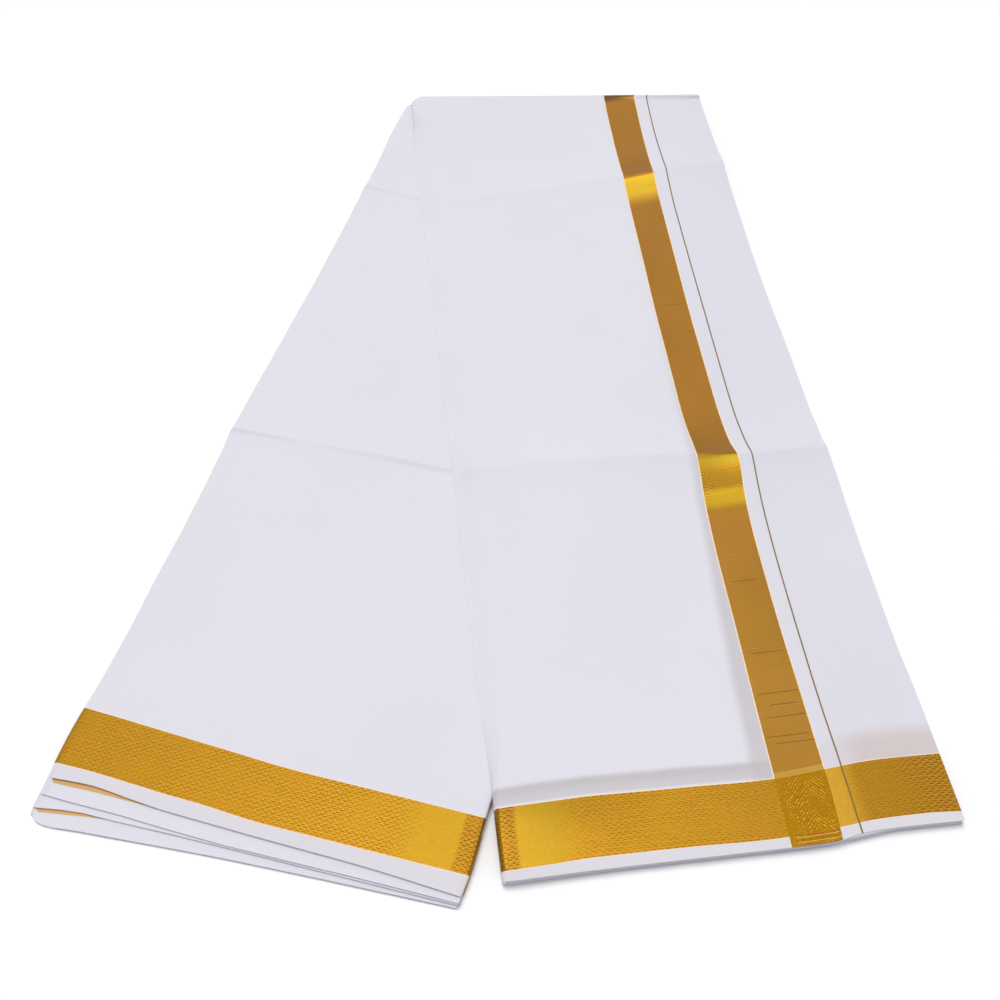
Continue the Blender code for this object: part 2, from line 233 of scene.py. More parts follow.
def ridgeHeight(leg, across, along):
    height = 0.0
    for crease in creases[leg]:
        middle = crease["along"] + crease["lean"] * across
        middle += crease["wander"] * noise.noise(Vector((across * 22.0, crease["along"] * 9.0, 3.1)))
        rounding = creaseRounding / crease["spread"]
        distance = abs(along - middle) / crease["spread"]
        distance = math.sqrt(distance * distance + rounding * rounding) - rounding
        if distance < 1.0:
            crest = mix(crease["left"], crease["right"], across / halfWidth / 2 + 0.5)
            height += crest * (1.0 - distance) ** 1.75 * (1.0 - creasePinch["height"])
            height += crest * creasePinch["height"] * max(1.0 - distance / creasePinch["reach"], 0.0) ** 2
    return height


def softWave(leg, across, along):
    # long, low unevenness of pressed cotton
    seed = 11.7 if leg == "upper" else 47.3
    here = Vector((across, along, 0.0))
    long = noise.noise(here / softWaves["length"] + Vector((seed, 0, 0)))
    fine = noise.noise(here / softWaves["fineLength"] + Vector((seed, 5, 0)))
    return long * softWaves["height"] + fine * softWaves["fineHeight"]


def upperPlace(across, along):
    return along * sinHalf + across * cosHalf, across * sinHalf - along * cosHalf


def lowerPlace(across, along):
    return across * cosHalf - along * sinHalf, -across * sinHalf - along * cosHalf


def upperUnderside(across, along):
    x, y = upperPlace(across, along)
    pastLowerLeg = x * cosHalf - y * sinHalf - halfWidth
    gap = mix(strip["slit"], strip["pressedGap"], eased(along, "gapCloses"))
    lift = (stackHeight + gap) * (1.0 - smoothStep((pastLowerLeg - strip["drapeStart"]) / strip["drapeRun"]))
    freeLength = along - (strip["upperHem"] - strip["hemDroopRun"])
    return lift * (1.0 - strip["hemDroop"] * smoothStep(freeLength / strip["hemDroopRun"]))


def clearOfUpper(across, along):
    # how far a place on the lower leg lies outside the upper one
    x, y = lowerPlace(across, along)
    return -halfWidth - x * cosHalf - y * sinHalf


def fanRow(number):
    return (strip["layers"] - number) // 4


def spreadOut(across, along, point):
    # the rows of the fan lie a little askew, so their closed edges stay in one line
    reach = mix(fanSpread[fanRow(point["layer"])], fanSpread[fanRow(point["next"])], point["step"]) / 1000
    return reach * eased(along, "fanOpens") * (1.0 - eased(across, "fanEnds"))


def foldBulge(across):
    bulge = strip["foldBulge"]
    return mix(bulge["left"], bulge["right"], across / halfWidth / 2 + 0.5)


def nearEdge(across):
    return smoothStep((across - halfWidth + strip["cornerReach"]) / strip["cornerReach"])


def cornerCut(across, level):
    # the fold's left corner slopes in towards its top
    return strip["cornerCut"] * nearEdge(-across) * min(max(level / stackHeight, 0.0), 1.0)


def placeOnBend(across, level, angle):
    radius = innerRadius + level
    raised = smoothStep(0.5 + math.sin(angle) / 2)
    slide = strip["foldAxis"] * sinHalf / cosHalf * (-2.0 * angle / math.pi)
    inset = strip["cornerInset"]["left" if across < 0 else "right"]
    inset *= nearEdge(abs(across)) * max(math.cos(angle), 0.0) ** 1.5
    x = across / cosHalf + slide - math.copysign(inset, across) + cornerCut(across, level) * raised
    back = (radius + strip["foldSkew"] * max(across / halfWidth, 0.0)) * math.cos(angle)
    return Vector((x + shiftX, strip["foldAxis"] + back + shiftY,
                   foldHeight + radius * math.sin(angle) + foldBulge(across) * raised))


def farSide(across):
    return eased(across / halfWidth, "farSide")


def place(row, point, across, level):
    if row["part"] == "bend":
        return placeOnBend(across, level, row["angle"])
    along = row["along"](across, point)
    height = level if row["part"] == "upper" else stackHeight - level
    atEdge = smoothStep((strip["edgeSlopeReach"] - halfWidth - across) / strip["edgeSlopeReach"])
    high, atHem = strip["edgeSlope"][row["part"]]
    lean = mix(high, atHem, eased(along, "leanEases"))
    across += lean * atEdge * height / stackHeight * eased(along, "leanStarts")
    lip = strip["lip"] * lean / high * atEdge * max(1.0 - height / strip["lipHeight"], 0.0) ** 2
    across -= lip * eased(along, "lipStarts")
    if row["part"] == "upper":
        across += cornerCut(across, level) * (1.0 - smoothStep(along / strip["cornerCutRun"]))
        across += inMetres(upperFlare, along) * farSide(across)
        x, y = upperPlace(across, along)
        underside = upperUnderside(across, along)
        underside += foldBulge(across) * (1.0 - smoothStep(along / strip["foldBulge"]["run"]))
        swell = ridgeHeight("upper", across, along)
        wave = softWave("upper", across, along)
    else:
        across -= inMetres(lowerFlare, along) * smoothStep(0.35 - across / halfWidth * 0.65)
        across -= spreadOut(across, along, point)
        across -= inMetres(lowerInnerFlare, along) * farSide(across)
        x, y = lowerPlace(across, along)
        underside = 0.0
        clear = clearOfUpper(across, along)
        swell = ridgeHeight("lower", across, along) * eased(clear, "creasesClear")
        wave = softWave("lower", across, along) * eased(clear, "wavesClear")
    settled = eased(along, "wavesStart") * (1.0 - eased(along, "wavesEnd"))
    share = min(height / (stackHeight - 4 * layerPitch), 1.0)
    return Vector((x + shiftX, y + shiftY, underside + height + (swell + wave * settled) * share))


# ---- rows along the strip ----


def legRow(part, distance):
    # rows lie along the fold near it, along each crease near that, and square across the leg elsewhere
    askew = 1.0 - eased(distance, "rowsStraighten")
    lean = sinHalf / cosHalf * askew * (1.0 if part == "upper" else -1.0)
    for crease in creases[part]:
        lean += crease["lean"] * (1.0 - eased(abs(distance - crease["along"]), "rowsPastCrease"))
    return {"part": part, "along": lambda across, point: distance + across * lean}


def layerHem(part, across, number):
    line = upperLines["hem"] if part == "upper" else lowerHems[fanRow(number)]
    return (through(line, across * 1000) - layerShortfalls[number - 1]) / 1000


def hemLine(part, across, point):
    return mix(layerHem(part, across, point["layer"]), layerHem(part, across, point["next"]), point["share"])


def marginLine(part, margin):
    # a line at a set distance from the hem, with the border's own unevenness
    def along(across, point):
        hem = hemLine(part, across, point)
        if margin == 0.0:
            return hem
        if part == "upper":
            name = "borderLow" if margin < borderTop else "borderTop"
            return inMetres(upperLines[name], across) - inMetres(upperLines["hem"], across) + hem
        # it keeps to the hem on top, also where the cloth turns down over the fan
        extra = lowerBorderExtra["low" if margin < borderTop else "top"]
        return layerHem(part, across, strip["layers"]) - margin - inMetres(extra, across)
    return along


def evenLine(across, point):
    return strip["evenTo"]


def rowsBetween(part, first, last, count, closing=True):
    return [{"part": part, "along": lambda across, point, share=i / count:
             mix(first(across, point), last(across, point), share)} for i in range(count + closing)]


def legRows(part, start, step, fineStep):
    # closer together over the creases
    distances, here = [], start
    while here < strip["evenTo"] - step * 0.4:
        distances.append(here)
        near = min(abs(here - crease["along"]) for crease in creases[part])
        middleStep = (fineStep + step) / 2 if near < creaseRows["middle"] else step
        here += fineStep if near < creaseRows["fine"] else middleStep
    return [legRow(part, distance) for distance in distances]


def bendRows(count):
    return [{"part": "bend", "angle": mix(-math.pi / 2, math.pi / 2, i / count)} for i in range(count)]


def evenlyCounted(left, right, count):
    return [mix(left, right, i / count) for i in range(count + 1)]


# ---- cross-sections of the strip ----


def pressed(number):
    # the layers inside are pressed a little closer than the two outer ones
    return stackHeight / 2 + ((strip["layers"] + 0.5 - number) * layerPitch - stackHeight / 2) * strip["innerPress"]


def layerLevel(number):
    return (strip["layers"] + 0.5 - number) * layerPitch if number in (1, strip["layers"]) else pressed(number)


def onLayer(number, acrosses):
    return [{"across": across, "level": layerLevel(number), "layer": number, "next": number,
             "share": 0.0, "step": 0.0} for across in acrosses]


def numberAt(level):
    # the layer that lies at a level, as a number with a fraction
    spread = stackHeight / 2 + (level - stackHeight / 2) / strip["innerPress"]
    number = strip["layers"] + 0.5 - spread / layerPitch
    return min(max(number, 1.0), float(strip["layers"]))


def edgeTurn(side, first, second, steps, ends=(0, 0)):
    # The cloth turned over from one layer to another, without its end points.
    # On its way it keeps to the hem of the layers at its own level.
    middle = (layerLevel(first) + layerLevel(second)) / 2
    rise = (layerLevel(first) - layerLevel(second)) / 2
    reach = abs(rise) * strip["turnReach"] / (stackHeight / 2)
    centre = turnCentre if side < 0 else openEdge
    angles = [math.pi * (0.5 - i / steps) for i in range(1 - ends[0], steps + ends[1])]
    for number in fanGaps:
        for beside in (-hemStep / 2, 0.0, hemStep / 2):
            level = pressed(number + beside)
            if abs(level - middle) < abs(rise) * 0.97:
                angles.append(math.asin((level - middle) / rise))
    points = []
    for angle in sorted(angles, reverse=True):
        level = middle + rise * math.sin(angle)
        number = numberAt(level)
        above = min(math.floor(number) + 1, strip["layers"])
        passed = (above - number - 0.5) / hemStep + 0.5
        points.append({"across": centre + side * reach * math.cos(angle), "level": level, "layer": above,
                       "next": max(above - 1, 1), "share": smoothStep(passed * 2), "step": smoothStep(passed * 2 - 1)})
    return points


# ---- sheets ----


def inScene(name, data):
    made = bpy.data.objects.new(name, data)
    bpy.context.collection.objects.link(made)
    return made


def borderStray(row, point):
    if row["part"] != "lower":
        return 0.0
    strays = [inMetres(borderDrift[fanRow(point[key])], point["across"]) for key in ("layer", "next")]
    # on the closed edge it ends sooner, so that little of it shows under the hem
    onEdge = smoothStep((turnCentre + edgeBorder["inset"] - point["across"]) / edgeBorder["run"])
    nearHem = eased(row["along"](point["across"], point), "hemNears")
    return mix(*strays, point["share"]) + mix(edgeBorder["short"], edgeBorder["shortAtHem"], nearHem) * onEdge


def runAlong(path):
    run = [0.0]
    for a, b in zip(path, path[1:]):
        run.append(run[-1] + (b - a).length)
    return run


def makeSheet(name, rows, section, material, uEnd, uSign, vEnd, fromHem, both=False, vSpan=0.0):
    # A thin closed shell along a folded cross-section. Its map holds the place
    # on the flat cloth in metres: along its length, and across its width.
    half = strip["sheetThickness"] / 2
    shape = bmesh.new()
    mapLayer = shape.loops.layers.uv.new("clothMap")
    faces, backs, middles, lengths, drifts = [], [], [], [], []
    for row in rows:
        points = section(row)
        path = [Vector((point["across"], point["level"])) for point in points]
        run = runAlong(path)
        lengths.append([uEnd(points[-1]) + uSign * (run[-1] - value) for value in run])
        drifts.append([borderStray(row, point) if both else 0.0 for point in points])
        for line in (faces, backs, middles):
            line.append([])
        for i, point in enumerate(points):
            ahead = (path[min(i + 1, len(path) - 1)] - path[max(i - 1, 0)]).normalized()
            side, here = Vector((-ahead.y, ahead.x)) * half, path[i]
            faces[-1].append(shape.verts.new(place(row, point, here.x + side.x, here.y + side.y)))
            backs[-1].append(shape.verts.new(place(row, point, here.x - side.x, here.y - side.y)))
            middles[-1].append(place(row, point, here.x, here.y))
    count = len(faces[0])
    widths = []
    for j in range(count):
        run = runAlong([middle[j] for middle in middles])
        whole = run[-1]
        if both:
            widths.append([mix(value, strip["clothWidth"] - (whole - value) + drifts[i][j], smoothStep(value / whole))
                           for i, value in enumerate(run)])
        else:
            stretch = vSpan / whole if vSpan else 1.0
            left = [vEnd + (whole - value) * stretch for value in run]
            widths.append(left if fromHem == "upper" else [strip["clothWidth"] - value for value in left])

    def addFace(corners, spots, flipped=False):
        face = shape.faces.new(corners[::-1] if flipped else corners)
        for loop, (i, j) in zip(face.loops, spots[::-1] if flipped else spots):
            loop[mapLayer].uv = (lengths[i][j], widths[j][i])
        face.smooth = True

    def addRim(spots, flipped):
        back = spots[::-1]
        addFace([faces[i][j] for i, j in spots] + [backs[i][j] for i, j in back], spots + back, flipped)

    for i in range(len(rows) - 1):
        for j in range(count - 1):
            spots = [(i, j), (i + 1, j), (i + 1, j + 1), (i, j + 1)]
            addFace([faces[a][b] for a, b in spots], spots)
            addFace([backs[a][b] for a, b in spots], spots, True)
        for j in (0, count - 1):
            addRim([(i, j), (i + 1, j)], j == 0)
    for i in (0, len(rows) - 1):
        for j in range(count - 1):
            addRim([(i, j), (i, j + 1)], i > 0)
    bmesh.ops.recalc_face_normals(shape, faces=shape.faces)
    mesh = bpy.data.meshes.new(name)
    shape.to_mesh(mesh)
    shape.free()
    mesh.set_sharp_from_angle(angle=math.radians(55))
    mesh.materials.append(material)
    piece = inScene(name, mesh)
    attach(piece, "root")
    return piece


# ---- shader helpers ----


class Wrapped:
    # a node's socket that can be used in sums
    def __init__(self, maker, socket):
        self.maker, self.socket = maker, socket

    def maths(self, operation, *others):
        return self.maker.node("ShaderNodeMath", {"operation": operation}, dict(enumerate((self,) + others)))

    def __add__(self, other):
        return self.maths("ADD", other)

    def __sub__(self, other):
        return self.maths("SUBTRACT", other)

    def __rsub__(self, other):
        return self.maker.node("ShaderNodeMath", {"operation": "SUBTRACT"}, {0: other, 1: self})

    def __mul__(self, other):
        return self.maths("MULTIPLY", other)

    def __pow__(self, other):
        return self.maths("POWER", other)

    __radd__ = __add__
    __rmul__ = __mul__

    def rising(self, low, high):
        # 0 below low, 1 above high, soft in between
        return self.maker.node("ShaderNodeMapRange", {"interpolation_type": "SMOOTHSTEP"},
                               {"Value": self, "From Min": low, "From Max": high})

    def falling(self, low, high):
        return 1 - self.rising(low, high)

    def within(self, low, full, ending, high):
        return self.rising(low, full) * self.falling(ending, high)

    def wave(self, length, kind="SINE"):
        return (self * (2 * math.pi / length)).maths(kind)


class NodeMaker:
    # makes nodes in one tree and joins them
    def __init__(self, tree):
        self.tree = tree

    def node(self, kind, settings=None, values=None, output=0):
        made = self.tree.nodes.new(kind)
        for key, value in (settings or {}).items():
            setattr(made, key, value)
        for key, value in (values or {}).items():
            if isinstance(value, Wrapped):
                self.tree.links.new(value.socket, made.inputs[key])
            else:
                made.inputs[key].default_value = value
        return None if output is None else Wrapped(self, made.outputs[output])


def opaque(colour):
    return (*colour, 1.0) if isinstance(colour, tuple) else colour


class Finish(NodeMaker):
    # one material, with u along the cloth and v across its width
    def __init__(self, name, roughness, metallic=0.0, specular=0.5, **constants):
        self.material = bpy.data.materials.new(name)
        self.material.use_nodes = True
        super().__init__(self.material.node_tree)
        self.shader = self.tree.nodes["Principled BSDF"]
        constants.update({"Roughness": roughness, "Metallic": metallic, "Specular IOR Level": specular})
        for key, value in constants.items():
            self.shader.inputs[key].default_value = value
        self.u = self.node("ShaderNodeSeparateXYZ", {}, {0: self.node("ShaderNodeUVMap", {"uv_map": "clothMap"})})
        self.v = Wrapped(self, self.u.socket.node.outputs[1])

    def covered(self, colour, *covers):
        # each cover is a share from 0 to 1 and the colour that it brings
        for share, cover in covers:
            colour = self.node("ShaderNodeMix", {"data_type": "RGBA"},
                               {0: share, 6: opaque(colour), 7: opaque(cover)}, 2)
        return colour

    def tinted(self, colour, amount):
        # a colour made lighter or darker by an amount round 1
        grey = self.node("ShaderNodeCombineXYZ", {}, {0: amount, 1: amount, 2: amount})
        return self.node("ShaderNodeMix", {"data_type": "RGBA", "blend_type": "MULTIPLY"},
                         {0: 1.0, 6: opaque(colour), 7: grey}, 2)

    def speckle(self, scaleU, scaleV, detail=2.0, shift=0.0):
        # noise with its own scale along and across the cloth
        stretched = self.node("ShaderNodeCombineXYZ", {}, {0: self.u * scaleU + shift, 1: self.v * scaleV, 2: shift})
        return self.node("ShaderNodeTexNoise", {"noise_dimensions": "3D"},
                         {"Vector": stretched, "Scale": 1.0, "Detail": detail, "Roughness": 0.55})

    def made(self, colour, relief, depth, **others):
        normal = self.node("ShaderNodeBump", {}, {"Height": relief, "Distance": depth, "Strength": 0.6})
        for key, value in {"Base Color": colour, "Normal": normal, **others}.items():
            self.tree.links.new(value.socket, self.shader.inputs[key])
        return self.material


# ---- finishes ----

cotton = {
    "colour": (0.690, 0.677, 0.735),
    "side": (0.672, 0.656, 0.716),
    "selvedge": (0.668, 0.640, 0.682),
    "edgeLine": (0.86, 0.68, 0.56),
    # painted shade in front of the lower leg's creases
    "crease": (0.590, 0.577, 0.638),
    "ghost": (0.505, 0.472, 0.482),
    "warmGhost": (0.560, 0.470, 0.440),
    "threadPitch": 0.00042,
    "weaveDepth": 0.00005,
}
zari = {
    "bright": (0.465, 0.226, 0.0125),
    "plain": (0.455, 0.258, 0.0145),
    "plainUpper": (0.408, 0.244, 0.0143),
    "plainSide": (0.660, 0.365, 0.036),
    # light: the colour of the painted highlights between the border's dashes
    "light": (0.80, 0.50, 0.10),
    "deep": (0.33, 0.150, 0.006),
    # brown: partly the pattern's own colour, partly painted shade towards the border's ends
    "brown": (0.19, 0.065, 0.008),
    "band": (0.585, 0.270, 0.043),
    # painted shade: the band darker towards the hem
    "bandLowShade": (0.525, 0.258, 0.038),
    # a painted reflection on the front of the first crease, and painted shade on its top and along the fold's top
    "crestFrontReflection": (0.463, 0.245, 0.017),
    "crestTopShade": (0.370, 0.232, 0.015),
    "foldTopShade": (0.190, 0.098, 0.034),
    # the painted highlight on the front of each crease
    "creaseHighlight": (0.84, 0.50, 0.030),
    "crossing": (0.425, 0.198, 0.003),
    "crossingLight": (0.84, 0.50, 0.050),
    "pale": (0.56, 0.33, 0.13),
    "markLength": 0.00365,
    "markRows": 0.00128,
}


def cottonThreads(finish):
    # plain weave: threads pass over and under by turns
    over = finish.u.wave(2 * cotton["threadPitch"]) * finish.v.wave(2 * cotton["threadPitch"])
    slubs = finish.speckle(90, 2600, 2.0, 3.0) + finish.speckle(2600, 90, 2.0, 7.0)
    cloudy = finish.speckle(7, 7, 3.0, 1.0)
    amount = 0.965 + slubs * 0.026 + over * 0.010 + (cloudy - 0.5) * 0.075
    return over * 0.5 + slubs * 0.8, amount


def cottonFinish(name, ghosts, plain="colour"):
    # ghosts are what shows through the cloth or lies along it, and painted shade in front of the creases: a share and
    # a tint
    finish = Finish(name, 0.85, 0.0, 0.25, **{"Sheen Weight": 0.12, "Sheen Roughness": 0.5})
    relief, amount = cottonThreads(finish)
    colour = finish.covered(cotton[plain], *((ghost(finish), cotton[tint]) for ghost, tint in ghosts))
    return finish.made(finish.tinted(colour, amount), relief, cotton["weaveDepth"])


def lattice(finish, down=0.0):
    # rows of short curved dashes, each row shifted by half a dash: 1 in a dash, 0 between them
    wobble = (finish.speckle(130, 190, 2.0, 2.0) - 0.5) * 0.0016
    dash = (finish.u + wobble).wave(zari["markLength"], "COSINE")
    row = (finish.v + dash * 0.00022 + wobble * 0.45 + down).wave(2 * zari["markRows"], "COSINE")
    even = row.maths("MAXIMUM", 0.0) ** 3
    odd = (row * -1.0).maths("MAXIMUM", 0.0) ** 3
    return even * dash.rising(-0.65, 0.20) + odd * (dash * -1.0).rising(-0.65, 0.20)


def zariFinish(name, zones, plainColour="plain"):
    # zones gives the shares of plain metal, of strong pattern, of brown and of shade over the border: the brown is
    # partly the pattern's own colour and partly painted shade towards the ends, the shade is painted shade, and the
    # plain metal is partly a painted highlight
    finish = Finish(name, 0.40, 0.85, 0.3)
    # the second lattice, half a row down, places painted highlights between the dashes
    dash, glint = lattice(finish), lattice(finish, zari["markRows"] * 0.5)
    threads = finish.v.wave(0.00045)
    plain, strong, brown, shade = zones(finish)
    uneven = finish.speckle(300, 500, 2.0, 8.0) - 0.5
    patchy = 0.58 + finish.speckle(50, 80, 1.0, 3.0).rising(0.35, 0.60) * 0.42
    calm = (1 - plain) * patchy.maths("MAXIMUM", strong)
    mark = dash * calm
    colour = finish.covered(
        zari["bright"],
        (plain, zari[plainColour]),
        (glint * (0.12 + strong * strong * 0.32) * calm, zari["light"]),
        (mark * (0.66 + strong * 0.34), zari["deep"]),
        (brown * (0.10 + mark * 0.90), zari["brown"]))
    amount = 0.94 - shade + uneven * 0.20 + (finish.speckle(900, 1700, 2.0, 5.0) - 0.5) * 0.30 + threads * 0.03
    return finish.made(finish.tinted(colour, amount), uneven * 0.4 + threads * 0.10 - mark, 0.00012,
                       Roughness=0.38 + mark * 0.10)


def pastCrease(finish, crease):
    # how far a place on the upper leg lies beyond a crease
    across = halfWidth - finish.u
    return strip["upperHem"] - finish.v - (across * crease["lean"] + crease["along"])


def bandFinish(name):
    # satin zari, with a painted highlight on the front of each crease
    finish = Finish(name, 0.36, 0.85, 0.3)
    along = strip["upperHem"] - finish.v
    satin = finish.speckle(16, 1500, 2.0, 4.0) - 0.5
    slow = finish.speckle(45, 14, 2.0, 2.0) - 0.5
    pulls = finish.speckle(22, 420, 1.0, 12.0).rising(0.66, 0.74)
    pulls = pulls * finish.speckle(30, 22, 1.0, 15.0).rising(0.50, 0.60)
    first, second = (pastCrease(finish, crease) for crease in creases["upper"])
    # painted highlights on the front of each crease
    pressed = first.within(-0.0005, 0.0015, 0.003, 0.008) * 0.15
    pressed = pressed + first.within(0.019, 0.024, 0.030, 0.037) * 0.95
    secondCreaseHighlight = second.within(-0.0005, 0.0015, 0.014, 0.032)
    # painted shade behind each crest
    shaded = first.within(-0.040, -0.010, -0.002, 0.0)
    shaded = shaded + second.within(-0.036, -0.010, -0.002, 0.0)
    chevrons = (finish.v + finish.u.wave(0.0056) * 0.0008).wave(0.0021)
    chevrons = chevrons * finish.speckle(420, 700, 1.0, 19.0).rising(0.40, 0.54)
    woven = first.within(0.004, 0.008, 0.022, 0.030)
    woven = woven * finish.speckle(95, 60, 1.0, 9.0).rising(0.42, 0.54)
    # painted shade: darker towards the hem and behind each crest, and lighter in the painted highlight of the second
    # crease
    tone = 0.97 - along.rising(0.420, 0.480) * 0.06 - along.rising(0.530, 0.590) * 0.09
    tone = tone + secondCreaseHighlight * 0.50 - shaded * 0.10
    # painted darker towards the hem, with a painted reflection on the front of the first crease, painted shade on its
    # top and along the fold's top, and painted highlights on the front of each crease
    colour = finish.covered(
        zari["band"],
        (along.rising(0.40, 0.50), zari["bandLowShade"]),
        (first.within(-0.0005, 0.0015, 0.030, 0.042), zari["crestFrontReflection"]),
        (first.within(-0.0034, -0.0016, 0.0035, 0.0065), zari["crestTopShade"]),
        (along.falling(0.0080, 0.0155), zari["foldTopShade"]),
        ((pressed + secondCreaseHighlight) * (0.85 + satin * 0.9), zari["creaseHighlight"]),
        (finish.v.falling(0.0408, 0.0414) * 0.45, zari["light"]))
    amount = tone * (0.93 + satin * 0.16 + slow * 0.20 - pulls * 0.18 + chevrons * woven * 0.30)
    return finish.made(finish.tinted(colour, amount), satin * 0.8 + chevrons * woven * 0.7 - pulls, 0.00007,
                       Roughness=0.37 + satin * 0.10 - pressed * 0.04)


def crossingFinish(name):
    # where the band crosses the border: broken herringbone of fine bright dashes
    finish = Finish(name, 0.42, 0.85, 0.3)
    bend = (finish.speckle(260, 220, 2.0, 2.0) - 0.5) * 0.0016
    slant = (finish.u + finish.v * 0.90 + bend).wave(0.00195)
    counter = (finish.u - finish.v * 0.90 + bend).wave(0.00195)
    blocks = (finish.u + 0.0030 + bend).wave(0.0180).rising(-0.15, 0.15)
    herringbone = slant * blocks + counter * (1 - blocks)
    fleck = finish.speckle(420, 900, 2.0, 6.0)
    shown = finish.speckle(90, 70, 1.0, 11.0).rising(0.30, 0.54)
    inside = finish.u.within(0.0572, 0.0612, 0.0788, 0.0826)
    shown = shown * inside * (1 - finish.v.rising(0.0320, 0.0360) * 0.8)
    broken = finish.speckle(640, 700, 1.0, 17.0).rising(0.42, 0.56)
    lit = (herringbone * 0.5 + fleck).rising(0.72, 1.04) * broken * (0.12 + shown * 0.74)
    colour = finish.covered(zari["crossing"], (lit, zari["crossingLight"]))
    return finish.made(finish.tinted(colour, 0.86 + (fleck - 0.5) * 0.35), herringbone * 0.4 * shown + fleck * 0.4,
                       0.00014, Roughness=0.45 - lit * 0.08)


def layersFinish(name):
    # the hidden layers: cotton, with the paler back of the zari near both selvedges
    finish = Finish(name, 0.85, 0.0, 0.25)
    relief, amount = cottonThreads(finish)
    fromHem = finish.v.maths("MINIMUM", strip["clothWidth"] - finish.v)
    inBorder = fromHem.within(0.0066, 0.0070, 0.0378, 0.0382)
    mark = lattice(finish) * fromHem.rising(0.012, 0.018)
    gold = finish.covered(zari["pale"], (mark * 0.6, zari["deep"]))
    colour = finish.covered(finish.tinted(cotton["colour"], amount), (inBorder, gold))
    return finish.made(colour, relief, cotton["weaveDepth"], Metallic=inBorder * 0.3, Roughness=0.85 - inBorder * 0.40)


def upperBorderZones(finish):
    u = finish.u
    innerEnd = u.rising(0.2145, 0.2175)
    plain = u.rising(0.176, 0.200) * (1 - innerEnd)
    # at the inner end, where the cloth turns over: painted shade, browner and stronger marks; the plain metal is
    # partly a painted highlight
    return plain * 0.85, innerEnd * 0.4, innerEnd * 0.60 + 0.04, innerEnd * 0.17


def upperSideZones(finish):
    u = finish.u
    plain = u.rising(0.0400, 0.0520) * 0.9
    outer = u.falling(0.002, 0.036)
    # at the outer end: browner marks, partly painted shade, stronger painted highlights between them, and a tone made
    # a little lighter as painted light; the plain metal is partly a painted highlight
    return plain, outer * 0.9, outer * 0.85 + 0.03, outer * -0.07


def lowerBorderZones(finish):
    u = finish.u
    innerEnd = u.rising(0.4375, 0.4400)
    plain = u.rising(0.398, 0.422) * (1 - innerEnd)
    # at the inner end, where the cloth turns over: painted shade, browner and stronger marks; a little painted brown
    # towards the outer end; the plain metal is partly a painted highlight
    return plain * 0.90, innerEnd * 0.4, innerEnd * 0.50 + 0.04 * u.falling(0.225, 0.30), innerEnd * 0.10


# ---- the band's own path ----

bandPath = {
    # its left edge, its right edge and the thin line beside it, as (along, across) in millimetres
    "left": [(0, 39.7), (20, 39.0), (60, 37.9), (100, 36.9), (150, 36.0), (200, 34.9), (250, 33.6), (300, 33.3),
             (350, 33.2), (372, 34.1), (392, 34.1), (412, 32.8), (450, 31.3), (500, 30.7), (550, 29.9), (585, 29.4),
             (626, 28.8)],
    "right": [(0, 62.6), (30, 61.9), (60, 60.8), (100, 59.5), (150, 58.3), (200, 57.1), (250, 56.2), (300, 56.1),
              (350, 56.2), (372, 56.9), (388, 58.6), (405, 57.2), (425, 55.9), (450, 55.0), (500, 54.4),
              (550, 54.8), (585, 55.1), (600, 55.2), (626, 54.0)],
    "line": [(0, 72.2), (30, 71.3), (60, 70.2), (100, 69.4), (150, 67.7), (200, 66.7), (250, 66.3), (300, 65.9),
             (350, 65.7), (372, 66.2), (388, 66.9), (405, 66.0), (450, 64.1), (500, 63.3), (550, 63.2), (585, 63.9),
             (626, 64.2)],
}
bandMiddle = 0.05
topLayer = {"layer": 1, "next": 1, "share": 0.0}


def bandEdge(row, which):
    along = 0.0 if row["part"] == "bend" else row["along"](bandMiddle, topLayer)
    return inMetres(bandPath[which], along)


def ghostByBand(finish):
    # lower layers show faintly beside the band, wider towards the hem
    along = strip["upperHem"] - finish.v
    edge = 0.0762 + along.rising(0.34, 0.60) * 0.0085 + along * 0.0130
    edge = edge + (finish.speckle(6, 30, 1.0, 4.0) - 0.5) * 0.002
    near = (finish.u - edge).falling(-0.0022, 0.0040)
    return near * (along.rising(0.12, 0.52) * 0.66 + 0.06)


def ghostByBorder(finish):
    edge = 0.0482 + (finish.speckle(25, 3, 1.0, 5.0) - 0.5) * 0.003
    near = (finish.v - edge).falling(-0.0016, 0.0024)
    fading = 0.66 + finish.v.rising(0.0400, 0.0470) * 0.30
    return near * fading * finish.v.rising(0.0384, 0.0400)


def ghostAtSide(finish):
    # warmer and softer on the far side of the band
    edge = 0.0530 + (finish.speckle(25, 3, 1.0, 5.0) - 0.5) * 0.003
    near = (finish.v - edge).falling(-0.0060, 0.0060)
    outer = finish.u.falling(0.034, 0.052)
    return near * (0.22 + outer * 0.46)


def shadeBelowCrease(finish):
    # painted shade: the lower leg is a little darker in front of each crease
    across = finish.u - strip["lowerMiddle"]
    along = finish.v + across * 0.032 - (strip["clothWidth"] - strip["lowerHem"])
    first, second = (along - (across * crease["lean"] + crease["along"]) for crease in creases["lower"])
    creaseShade = first.within(-0.0012, 0.0010, 0.0012, 0.0050) + second.within(-0.0012, 0.0010, 0.0012, 0.0050)
    return creaseShade * finish.speckle(16, 5, 1.0, 13.0).rising(0.20, 0.80)


def paleLine(finish, share, least=0.40):
    # a pale warm thread beside the border
    return share * (least + finish.speckle(90, 10, 1.0, 6.0) * 0.5)


def lineAboveBorder(finish):
    return paleLine(finish, finish.v.falling(0.0384, 0.0388))


def lineAboveLowerBorder(finish):
    return paleLine(finish, finish.v.rising(strip["clothWidth"] - 0.0388, strip["clothWidth"] - 0.0384))


